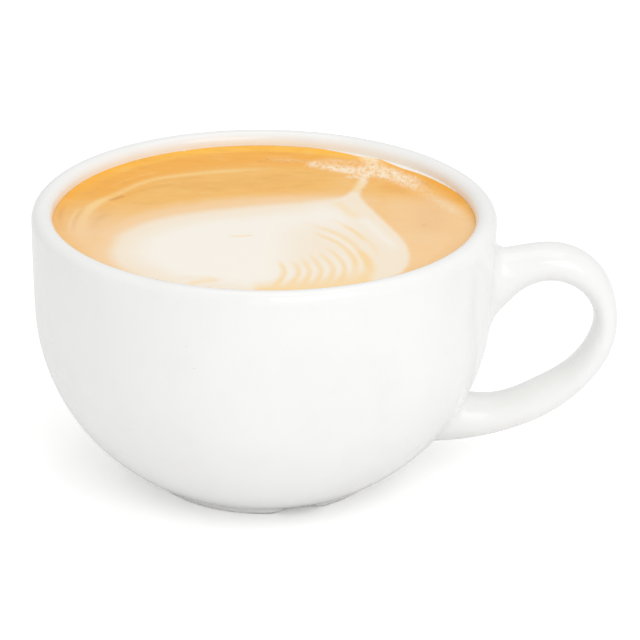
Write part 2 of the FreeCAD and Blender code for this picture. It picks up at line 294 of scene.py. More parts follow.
def read_rows(items: Sequence[object], name: str, width: int, kind: type = float) -> np.ndarray:
    """Read numbers from a mesh's corners, edges or faces.

    Args:
        items: The corners, edges or faces.
        name: What is read from each.
        width: How many numbers that is.
        kind: The type of number.

    Returns:
        The numbers, one item to a row.
    """
    flat = np.empty(len(items) * width, kind)
    items.foreach_get(name, flat)
    return flat.reshape(-1, width)


def write_numbers(mesh: bpy.types.Mesh, name: str, values: np.ndarray) -> None:
    """Store one named number at each of a mesh's corners."""
    layer = mesh.attributes.new(name, "FLOAT", "POINT")
    layer.data.foreach_set("value", values.astype(np.float32))


def evaluated_mesh(piece: bpy.types.Object) -> bpy.types.Mesh:
    """Turn an object and its modifiers into one plain mesh.

    Args:
        piece: The object.

    Returns:
        The mesh.
    """
    graph = bpy.context.evaluated_depsgraph_get()
    graph.update()
    return bpy.data.meshes.new_from_object(piece.evaluated_get(graph))


# ---------------------------------------------------------------------------------------------
# Shader building. A mask is a pattern eased between two of its values, and the number that
# multiplies it says how strongly it shows.


def add_node(tree: bpy.types.NodeTree, kind: str, settings: Settings = None,
             sockets: Sockets = None) -> bpy.types.Node:
    """Add a node.

    Args:
        tree: The tree that takes it.
        kind: Its type.
        settings: Its own settings, which are set first.
        sockets: Values for its inputs, or outputs to link to them, by name or number.

    Returns:
        The node.
    """
    made = tree.nodes.new(kind)
    for name, value in (settings or {}).items():
        setattr(made, name, value)
    for key, value in (sockets or {}).items():
        if isinstance(value, bpy.types.NodeSocket):
            tree.links.new(value, made.inputs[key])
        else:
            made.inputs[key].default_value = value
    return made


class Wire:
    """A shader socket on which Python arithmetic builds Math nodes."""

    def __init__(self, shading: "Shading", socket: bpy.types.NodeSocket) -> None:
        """Wrap a socket of the shading's tree."""
        self.shading = shading
        self.socket = socket

    def __add__(self, other: "Wire | float") -> "Wire":
        """Add."""
        return self.shading.maths("ADD", self, other)

    def __sub__(self, other: "Wire | float") -> "Wire":
        """Subtract."""
        return self.shading.maths("SUBTRACT", self, other)

    def __mul__(self, other: "Wire | float") -> "Wire":
        """Multiply."""
        return self.shading.maths("MULTIPLY", self, other)

    def __rsub__(self, other: float) -> "Wire":
        """Subtract this from a number."""
        return self.shading.maths("SUBTRACT", other, self)

    __radd__ = __add__
    __rmul__ = __mul__

    def eased(self, low: float, high: float) -> "Wire":
        """Ease this value from 0 at low to 1 at high, where high may be the smaller."""
        stops = (high, low, 1.0, 0.0) if high < low else (low, high, 0.0, 1.0)
        return self.shading.wire("ShaderNodeMapRange", {"interpolation_type": "SMOOTHSTEP"},
                                 dict(enumerate((self, *stops))))


class Shading:
    """The node tree of a material or a world, with a method for each kind of pattern."""

    def __init__(self, owner: bpy.types.Material | bpy.types.World) -> None:
        """Empty the owner's tree.

        Args:
            owner: The material or the world that the nodes are for.
        """
        self.owner = owner
        self.owner.use_nodes = True
        self.tree = owner.node_tree
        self.tree.nodes.clear()

    def node(self, kind: str, settings: Settings = None, sockets: Sockets = None) -> bpy.types.Node:
        """Add a node as add_node does, with wires among the values of its inputs."""
        plain = {key: getattr(value, "socket", value) for key, value in (sockets or {}).items()}
        return add_node(self.tree, kind, settings, plain)

    def wire(self, kind: str, settings: Settings = None, sockets: Sockets = None,
             output: str | int = 0) -> Wire:
        """Add a node and wrap one of its outputs."""
        return Wire(self, self.node(kind, settings, sockets).outputs[output])

    def maths(self, operation: str, *values: "Wire | float") -> Wire:
        """Add a Math node on one, two or three values."""
        return self.wire("ShaderNodeMath", {"operation": operation}, dict(enumerate(values)))

    def mix(self, factor: Wire, first: Wire | Colour, second: Wire | Colour) -> Wire:
        """Mix two colours, each a wire or an sRGB triple."""
        return self.wire("ShaderNodeMix", {"data_type": "RGBA"},
                         {0: factor, 6: as_colour(first), 7: as_colour(second)}, 2)

    def attribute(self, name: str) -> Wire:
        """Read one number that the mesh carries."""
        return self.wire("ShaderNodeAttribute", {"attribute_name": name}, output="Fac")

    def place(self) -> Wire:
        """Read the place on the object, in metres."""
        return self.wire("ShaderNodeTexCoord", output="Object")

    def height(self) -> Wire:
        """Read how high a place on the object lies, in metres."""
        return self.wire("ShaderNodeSeparateXYZ", None, {0: self.place()}, "Z")

    def noise(self, grain: float, detail: float = 2.0, stretch: Triple = (1, 1, 1)) -> Wire:
        """Add noise.

        Args:
            grain: The size of its patches, in millimetres.
            detail: How many finer layers it has.
            stretch: How the pattern is squeezed along each axis.

        Returns:
            A value about 0.5.
        """
        mapped = self.wire("ShaderNodeMapping", None, {"Vector": self.place(), "Scale": stretch})
        return self.wire("ShaderNodeTexNoise", None,
                         {"Vector": mapped, "Scale": 1 / (grain * MM), "Detail": detail})

    def cells(self, size: float) -> Wire:
        """Add cells of about this many millimetres; the value is the distance to a cell's centre."""
        return self.wire("ShaderNodeTexVoronoi", None,
                         {"Vector": self.place(), "Scale": 1 / (size * MM)}, "Distance")

    def bump(self, height: Wire, depth: float) -> Wire:
        """Turn a height of 0 to 1 into relief of this many millimetres."""
        return self.wire("ShaderNodeBump", None, {"Height": height, "Distance": depth * MM})

    def principled(self, sockets: Sockets) -> bpy.types.Material:
        """Finish the material with a Principled shader."""
        return self.finish(self.wire("ShaderNodeBsdfPrincipled", None, sockets))

    def finish(self, shader: Wire,
               output: Output = Output.MATERIAL) -> bpy.types.Material | bpy.types.World:
        """Send a shader to the owner's output, and give the owner back."""
        self.node(output.value, None, {"Surface": shader})
        return self.owner


def linear(value: float) -> float:
    """Turn one sRGB number into a linear one."""
    return value / 12.92 if value <= 0.04045 else ((value + 0.055) / 1.055) ** 2.4


def as_colour(value: Wire | Colour) -> Wire | tuple[float, ...]:
    """Turn an sRGB triple into a linear colour, and leave a wire as it is."""
    return value if isinstance(value, Wire) else (*(linear(part) for part in value), 1.0)


@dataclass(frozen=True)
class GlazeFinish:
    """White gloss glaze over an even body, bare where the foot stands on the ground."""

    colour: Colour = (0.960, 0.960, 0.955)
    shade: Colour = (0.945, 0.943, 0.933)
    speck: Colour = (0.80, 0.76, 0.70)
    bare: Colour = (0.86, 0.84, 0.79)
    bare_height: float = 0.16
    bare_shade: float = 0.94
    roughness: float = 0.13
    roughness_spread: float = 0.05
    bare_roughness: float = 0.75
    waviness: float = 0.02
    cloud_grain: float = 26.0
    pool_grain: float = 7.0
    sheen_grain: float = 12.0
    wave_grain: float = 5.5
    grit_grain: float = 0.35
    speck_spacing: float = 2.6
    speck_strength: float = 0.5

    def material(self) -> bpy.types.Material:
        """Make the glaze.

        Returns:
            The material.
        """
        shading = Shading(bpy.data.materials.new("white_glaze"))
        clouds = shading.noise(self.cloud_grain, 3.0).eased(0.35, 0.65)
        pooled = shading.noise(self.pool_grain).eased(0.45, 0.75) * 0.35
        colour = shading.mix(clouds * 0.55 + pooled, self.colour, self.shade)
        rare = shading.noise(9.0, 0.0).eased(0.64, 0.70)
        specks = shading.cells(self.speck_spacing).eased(0.075, 0.035) * rare
        colour = shading.mix(specks * self.speck_strength, colour, self.speck)
        bare = shading.height().eased(self.bare_height * MM * 2, self.bare_height * MM * 0.5)
        grit = shading.noise(self.grit_grain, 4.0)
        darker = tuple(part * self.bare_shade for part in self.bare)
        colour = shading.mix(bare, colour, shading.mix(grit.eased(0.3, 0.75), self.bare, darker))
        smoothest = self.roughness - self.roughness_spread / 2
        sheen = shading.noise(self.sheen_grain, 3.0) * self.roughness_spread + smoothest
        relief = shading.noise(self.wave_grain, 1.0) + grit * bare * 0.6 - specks * 0.5
        return shading.principled({
            "Base Color": colour,
            "Roughness": sheen + bare * (self.bare_roughness - self.roughness),
            "IOR": 1.5,
            "Normal": shading.bump(relief, self.waviness),
        })


@dataclass(frozen=True)
class FoamFinish:
    """Crema and milk foam: wet, finely bubbled, with a soft sheen."""

    tan: Colour = (0.965, 0.735, 0.360)
    gold: Colour = (0.970, 0.680, 0.190)
    bright: Colour = (1.000, 0.755, 0.285)
    deep: Colour = (0.860, 0.590, 0.200)
    pale: Colour = (0.990, 0.830, 0.540)
    beige: Colour = (0.980, 0.825, 0.625)
    cream: Colour = (0.975, 0.912, 0.815)
    milk: Colour = (0.982, 0.957, 0.912)
    ripple: Colour = (0.990, 0.850, 0.600)
    froth: Colour = (1.000, 0.935, 0.820)
    film: Colour = (0.980, 0.965, 0.930)
    roughness: float = 0.38
    relief: float = 0.035
    drift_grain: float = 6.0
    streak_grain: float = 2.4
    fine_grain: float = 1.1
    wisp_grain: float = 0.9
    mottle_grain: float = 0.45
    bubble_spacing: float = 0.55
    speck_spacing: float = 1.7
    streak_strength: float = 0.2

    def material(self) -> bpy.types.Material:
        """Make the foam, laid out by the numbers that the drink's mesh carries.

        Returns:
            The material.
        """
        shading = Shading(bpy.data.materials.new("crema_and_milk"))
        drift = shading.noise(self.drift_grain, 3.0) - 0.5
        fine = shading.noise(self.fine_grain, 3.0) - 0.5
        mottle = shading.noise(self.mottle_grain) - 0.5
        streaks = shading.noise(self.streak_grain, 4.0, (0.45, 1.0, 1.0))
        bubbles = shading.cells(self.bubble_spacing).eased(0.55, 0.15)
        wisps = shading.noise(self.wisp_grain, 3.0, (1.0, 0.45, 1.0)).eased(0.36, 0.56)
        inside = shading.attribute("figure") * -1.0
        standing = shading.attribute("froth")

        colour = shading.mix(shading.attribute("gold") + drift * 0.25, self.tan, self.gold)
        for mask, over in (
            (shading.attribute("bright"), self.bright),
            ((shading.attribute("deep") + drift * 0.3).eased(0.0, 1.0), self.deep),
            ((shading.attribute("pale") + fine * 0.2).eased(0.0, 1.0), self.pale),
            (streaks.eased(0.52, 0.74) * self.streak_strength, self.deep),
            (streaks.eased(0.48, 0.28) * self.streak_strength, self.pale),
        ):
            colour = shading.mix(mask, colour, over)
        halo = (inside + drift * 2.2).eased(-9.8, -2.2) * shading.attribute("halo")
        halo = shading.maths("MAXIMUM", halo, shading.attribute("front") + drift * 0.25)
        colour = shading.mix(halo, colour, self.beige)

        core = (inside + drift * 3.0).eased(0.5, 11.0) * (1.0 - shading.attribute("warm") * 0.75)
        ripples = (shading.attribute("ripple") + fine * 0.16).eased(0.0, 1.0) * 0.9
        milk = shading.mix(core, self.cream, self.milk)
        milk = shading.mix(ripples, milk, self.ripple)
        milk = shading.mix(shading.attribute("white"), milk, self.milk)
        edge = inside + fine * 0.7 + mottle * 0.35
        figure = (edge * shading.attribute("softness")).eased(-1.0, 1.0)

        froth = standing * (wisps * 0.55 + bubbles * 0.25 + 0.3)
        rare = shading.noise(4.0, 0.0).eased(0.56, 0.64)
        specks = shading.cells(self.speck_spacing).eased(0.10, 0.05) * rare
        film = (shading.attribute("film") + fine * 0.5).eased(0.2, 0.8)
        for mask, over in (
            (figure, milk),
            (froth, self.froth),
            (specks * 0.35 * (1.0 - figure), self.deep),
            (film, self.film),
        ):
            colour = shading.mix(mask, colour, over)
        relief = bubbles * (0.25 + standing * 0.9) + fine * 0.6 + figure * 0.5
        return shading.principled({
            "Base Color": colour,
            "Roughness": (mottle * 0.15 + self.roughness) - figure * 0.04,
            "IOR": 1.36,
            "Normal": shading.bump(relief, self.relief),
        })


@dataclass(frozen=True)
class BubbleFinish:
    """The thin milky skin of the larger bubbles."""

    skin: Colour = (0.995, 0.900, 0.720)
    thin: Colour = (0.960, 0.760, 0.470)
    roughness: float = 0.18
    patch_grain: float = 0.7
    sheen_grain: float = 0.5
    relief_grain: float = 0.3
    relief: float = 0.01

    def material(self) -> bpy.types.Material:
        """Make the bubbles' skin, thinner and more golden in places.

        Returns:
            The material.
        """
        shading = Shading(bpy.data.materials.new("bubble_skin"))
        patches = shading.noise(self.patch_grain).eased(0.35, 0.7)
        return shading.principled({
            "Base Color": shading.mix(patches * 0.6, self.skin, self.thin),
            "Roughness": shading.noise(self.sheen_grain, 1.0) * 0.1 + self.roughness,
            "IOR": 1.36,
            "Normal": shading.bump(shading.noise(self.relief_grain, 1.0), self.relief),
        })


# ---------------------------------------------------------------------------------------------
# The cup


@dataclass
class Field:
    """Numbers laid out over a flat sheet of places, read smoothly in between."""

    low: np.ndarray
    step: float
    values: np.ndarray

    @classmethod
    def over(cls, low: Sequence[float], high: Sequence[float], step: float,
             measure: Callable[[np.ndarray], np.ndarray]) -> "Field":
        """Lay out a measure.

        Args:
            low: The sheet's lowest corner.
            high: Its highest corner.
            step: How far apart the places lie.
            measure: Gives the numbers at places, one to a row, in one or more columns.

        Returns:
            The field.
        """
        across = np.arange(low[0], high[0] + step, step)
        up = np.arange(low[1], high[1] + step, step)
        places = np.stack(np.meshgrid(across, up, indexing="ij"), -1).reshape(-1, 2)
        values = measure(places).reshape(len(across), len(up), -1)
        return cls(np.array(low, float), step, values)

    def at(self, across: np.ndarray, up: np.ndarray) -> np.ndarray:
        """Read the field.

        Args:
            across: The places' first numbers.
            up: Their second numbers.

        Returns:
            One row of numbers for each place.
        """
        size = np.array(self.values.shape[:2])
        where = (np.column_stack((across, up)) - self.low) / self.step
        where = np.clip(where, 0, size - 1.001)
        cell = where.astype(int)
        share = where - cell
        total = 0.0
        for right, above in ((0, 0), (0, 1), (1, 0), (1, 1)):
            weight = np.abs(1 - right - share[:, 0]) * np.abs(1 - above - share[:, 1])
            total = total + weight[:, None] * self.values[cell[:, 0] + right, cell[:, 1] + above]
        return total


RIM_RADIUS = 52.5

# What keeps a division safe where a slope, its square or a length vanishes.
LEAST_SLOPE = 1e-4
LEAST_SQUARE = 0.25
LEAST_LENGTH = 1e-6

# The sheets on which the cup's distances are laid out: lowest corner, highest corner and step.
PROFILE_SHEET = ((0, -3), (60, 68), 0.1)
HANDLE_SHEET = ((20, -3), (84, 66), 0.25)

# The handle's centre line: out from the cup's axis, height, thickness and width.
HANDLE_STATIONS = (
    (RIM_RADIUS - 6.5, 45.2, 17.4, 15.0),
    (RIM_RADIUS - 0.7, 48.0, 14.4, 14.0),
    (RIM_RADIUS + 3.4, 49.9, 10.8, 12.6),
    (RIM_RADIUS + 14.7, 52.1, 8.3, 12.0),
    (RIM_RADIUS + 21.3, 48.8, 7.3, 11.6),
    (RIM_RADIUS + 25.6, 39.9, 5.4, 11.2),
    (RIM_RADIUS + 25.5, 35.7, 5.7, 11.2),
    (RIM_RADIUS + 19.1, 24.2, 6.9, 11.6),
    (RIM_RADIUS + 12.7, 19.3, 8.1, 12.0),
    (RIM_RADIUS + 1.5, 14.4, 8.6, 12.6),
    (RIM_RADIUS - 6.1, 13.5, 10.6, 13.4),
    (RIM_RADIUS - 18.5, 13.4, 12.2, 13.8),
)


@dataclass
class Cup:
    """The ceramic cup: lip, upright wall, belly, foot ring and handle, in one piece."""

    rim_radius: float = RIM_RADIUS
    height: float = 64.7
    rim_wall: float = 4.8
    belly_height: float = 41.0
    wall_draft: float = 0.4
    foot_radius: float = 26.4
    foot_height: float = 1.5
    foot_flare: float = 0.4
    foot_edge: float = 0.6
    ring_width: float = 4.2
    recess_depth: float = 2.3
    recess_corner: float = 0.5
    floor_height: float = 7.7
    floor_radius: float = 23.0
    floor_blend: float = 6.0
    notch_width: float = 10.6
    notch_depth: float = 1.5
    notch_blend: float = 0.7
    notch_turns: tuple[float, ...] = (-71.0, 49.0, 169.0)
    root_blend: float = 3.0
    cell: float = 0.82
    past_axis: float = -20.0
    above_lip: float = 9.0
    lip_steps: int = 14
    wall_steps: int = 10
    belly_steps: int = 60
    edge_steps: int = 5
    bowl_steps: int = 50
    floor_steps: int = 8
    handle_steps: int = 14
    finish: GlazeFinish = field(default_factory=GlazeFinish)

    def __post_init__(self) -> None:
        """Find the cup's axis from the drink, which stands round it, and lay out the distances."""
        low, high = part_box(Node.DRINK.value)
        self.axis = (low.x + high.x) / 2 / MM
        self.outer = Field.over(*PROFILE_SHEET, lambda at: outline_distance(at, self.outline()))
        self.bowl = Field.over(*PROFILE_SHEET, lambda at: outline_distance(at, self.bowl_outline()))
        self.arm = Field.over(*HANDLE_SHEET, self.measure_arm)

    def outline(self) -> np.ndarray:
        """Draw half of the filled outside.

        Returns:
            The outline from the axis over the lip to the recess under the floor, a point to a row.
        """
        start = np.array([self.rim_radius - self.rim_wall / 2, self.height])
        lip = np.array([self.rim_radius, self.height - self.rim_wall / 2])
        belly = np.array([self.rim_radius - self.wall_draft, self.belly_height])
        foot = np.array([self.foot_radius + self.foot_flare, self.foot_height])
        ring = np.array([self.foot_radius, self.foot_edge])
        ground = np.array([self.foot_radius - self.foot_edge, 0.0])
        inner = self.foot_radius - self.ring_width
        inner_ground = np.array([inner + self.foot_edge, 0.0])
        inner_edge = np.array([inner, self.foot_edge])
        corner = self.recess_corner
        outward, inward, down = np.array([[1.0, 0.0], [-1.0, 0.0], [0.0, -1.0]])
        return np.vstack([
            [self.past_axis, self.height], start,
            arc_points(start, lip, outward, self.lip_steps),
            arc_points(lip, belly, down, self.wall_steps),
            arc_points(belly, foot, arc_end(lip, belly, down), self.belly_steps),
            ring, arc_points(ring, ground, down, self.edge_steps), inner_ground,
            arc_points(inner_ground, inner_edge, inward, self.edge_steps),
            [inner, self.recess_depth - corner], [inner - corner * 0.3, self.recess_depth - corner * 0.3],
            [inner - corner, self.recess_depth], [self.past_axis, self.recess_depth],
        ])

    def bowl_side(self, count: int) -> np.ndarray:
        """Draw the bowl's wall.

        Args:
            count: How many points its belly has.

        Returns:
            The wall from the lip's inside down to the flat bottom, a point to a row.
        """
        bowl = self.rim_radius - self.rim_wall
        lip = np.array([bowl, self.height - self.rim_wall / 2])
        side = np.array([bowl - self.wall_draft, self.belly_height])
        floor = np.array([self.floor_radius, self.floor_height])
        down = np.array([0.0, -1.0])
        wall = np.vstack([lip, arc_points(lip, side, down, max(2, count // 4)),
                          arc_points(side, floor, arc_end(lip, side, down), count)])
        return self.ease_floor(wall)

    def ease_floor(self, wall: np.ndarray) -> np.ndarray:
        """Round the corner between the bowl's wall and its bottom.

        Args:
            wall: The wall's points, the last of them on the flat bottom.

        Returns:
            The wall down to the rounding, and the rounding.
        """
        above = wall[:, 1] > self.floor_height + 0.02
        lean = wall[-1] - wall[-2]
        lean = lean / np.linalg.norm(lean)
        half = (math.pi - math.acos(np.clip(-lean[0], -1, 1))) / 2
        reach = self.floor_blend / math.tan(half)
        kept = wall[above & (np.linalg.norm(wall - wall[-1], axis=1) > reach)]
        heading = (kept[-1] - kept[-2]) / np.linalg.norm(kept[-1] - kept[-2])
        end = np.array([wall[-1][0] - reach, self.floor_height])
        return np.vstack([kept, arc_points(kept[-1], end, heading, self.floor_steps)[:-1], end])

    def bowl_outline(self) -> np.ndarray:
        """Draw half of the hollow.

        Returns:
            The outline, closed above the lip, a point to a row.
        """
        crest = np.array([self.rim_radius - self.rim_wall / 2, self.height])
        inner = np.array([self.rim_radius - self.rim_wall, self.height - self.rim_wall / 2])
        top = self.height + self.above_lip
        return np.vstack([
            [self.past_axis, top], [crest[0], top], crest,
            arc_points(crest, inner, np.array([-1.0, 0.0]), self.lip_steps),
            self.bowl_side(self.bowl_steps)[1:],
            [self.past_axis, self.floor_height],
        ])

    def measure_arm(self, places: np.ndarray) -> np.ndarray:
        """Measure places in the handle's plane.

        Args:
            places: Out from the axis, and height, one to a row.

        Returns:
            The distance from the handle's centre line, its half thickness and its half width there.
        """
        stations = even_curve(HANDLE_STATIONS, self.handle_steps)
        distance, along = line_distance(places, stations[:, :2])
        order = along * (len(stations) - 1)
        numbers = np.arange(len(stations))
        return np.column_stack((distance, np.interp(order, numbers, stations[:, 2] / 2),
                                np.interp(order, numbers, stations[:, 3] / 2)))

    def distance(self, points: np.ndarray) -> np.ndarray:
        """Measure how far points lie outside the cup.

        Args:
            points: The points about the cup's axis, one to a row.

        Returns:
            The distances, negative within the ceramic.
        """
        radius = np.hypot(points[:, 0], points[:, 1])
        solid = self.outer.at(radius, points[:, 2])[:, 0]
        off, thick, wide = self.arm.at(points[:, 0], points[:, 2]).T
        around = np.hypot(off / thick, points[:, 1] / wide)
        slope = np.hypot(off / thick ** 2, points[:, 1] / wide ** 2)
        arm = around * (around - 1) / np.maximum(slope, LEAST_SLOPE)
        solid = blend_union(solid, arm, self.root_blend)
        size = (self.notch_width ** 2 / 4 + self.notch_depth ** 2) / (2 * self.notch_depth)
        for turn in self.notch_turns:
            out = np.array([math.cos(math.radians(turn)), math.sin(math.radians(turn))])
            across = points[:, 1] * out[0] - points[:, 0] * out[1]
            groove = np.hypot(across, points[:, 2] + size - self.notch_depth) - size
            groove = np.maximum(groove, -(points[:, :2] @ out))
            solid = -blend_union(-solid, groove, self.notch_blend)
        return np.maximum(solid, -self.bowl.at(radius, points[:, 2])[:, 0])

    def slope(self, points: np.ndarray, reach: float = 0.12) -> np.ndarray:
        """Find the direction in which the distance grows fastest.

        Args:
            points: The points about the cup's axis, one to a row.
            reach: How far to either side of them it is measured.

        Returns:
            The directions, with how fast it grows as their length.
        """
        sides = []
        for axis in np.eye(3) * reach:
            sides.append((self.distance(points + axis) - self.distance(points - axis)) / (2 * reach))
        return np.column_stack(sides)

    def settle(self, points: np.ndarray, rounds: int) -> np.ndarray:
        """Move points on to the cup's surface.

        Args:
            points: The points about the cup's axis, one to a row.
            rounds: How often each is moved.

        Returns:
            The moved points.
        """
        for _ in range(rounds):
            slope = self.slope(points)
            square = np.maximum((slope ** 2).sum(1), LEAST_SQUARE)[:, None]
            step = self.distance(points)[:, None] * slope / square
            points = points - np.clip(step, -self.cell, self.cell)
        return points

    def build(self) -> bpy.types.Object:
        """Make the cup's mesh: even cells over the solid, each corner moved on to the true surface.

        Returns:
            The cup.
        """
        shift = np.array([self.axis, 0.0, 0.0])
        blank = new_object("cup_blank", self.welded_copy())
        even = blank.modifiers.new("even", "REMESH")
        even.mode = "VOXEL"
        even.voxel_size = self.cell * MM
        mesh = evaluated_mesh(blank)
        bpy.data.objects.remove(blank)
        mesh.name = "glazed_cup"
        points = self.settle(read_rows(mesh.vertices, "co", 3) / MM - shift, 3)
        pairs = read_rows(mesh.edges, "vertices", 2, int)
        for _ in range(2):
            points = self.settle(self.relax(points, pairs), 2)
        points[:, 2] = np.maximum(points[:, 2], 0.0)
        mesh.vertices.foreach_set("co", ((points + shift) * MM).ravel())
        mesh.update()
        mesh.shade_smooth()
        normals = self.slope(points)
        normals /= np.maximum(np.linalg.norm(normals, axis=1), LEAST_LENGTH)[:, None]
        mesh.normals_split_custom_set_from_vertices(normals.tolist())
        mesh.materials.clear()
        mesh.materials.append(self.finish.material())
        made = new_object("glazed_cup", mesh)
        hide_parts(Node.CUP.value)
        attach(made, BODY)
        return made

    @staticmethod
    def welded_copy() -> bpy.types.Mesh:
        """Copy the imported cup's mesh with its loose triangles joined.

        Returns:
            The copy.
        """
        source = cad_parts[Node.CUP.value].data
        points = read_rows(source.vertices, "co", 3)
        _, first, number = np.unique(np.round(points, 7), axis=0, return_index=True, return_inverse=True)
        faces = number.reshape(-1)[read_rows(source.polygons, "vertices", 3, int)]
        distinct = (faces != np.roll(faces, -1, axis=1)).all(1)
        return mesh_from("cup_blank", points[first], faces[distinct])

    @staticmethod
    def relax(points: np.ndarray, pairs: np.ndarray) -> np.ndarray:
        """Move each point half of the way to the middle of its neighbours.

        Args:
            points: The points, one to a row.
            pairs: The numbers of each two neighbours.

        Returns:
            The moved points.
        """
        total = np.zeros_like(points)
        count = np.zeros(len(points))
        for here, there in (pairs.T, pairs.T[::-1]):
            np.add.at(total, here, points[there])
            np.add.at(count, here, 1)
        return (points + total / np.maximum(count, 1)[:, None]) / 2


# ---------------------------------------------------------------------------------------------
# The drink


@dataclass(frozen=True)
class Stroke:
    """A soft line on the drink, with the share of its length over which each end fades."""

    points: Line
    width: float
    strength: float
    fade: float = 0.3

    def over(self, places: np.ndarray) -> np.ndarray:
        """Measure how strongly the stroke marks places.

        Args:
            places: The places, one to a row.

        Returns:
            The stroke's strength at each, which falls off to both sides and over the faded ends.
        """
        distance, along = line_distance(places, smooth_curve(self.points, 7))
        ends = smoothstep(along, 0, self.fade) * smoothstep(along, 1, 1 - self.fade) if self.fade else 1.0
        return self.strength * np.exp(-(distance / self.width) ** 2) * ends


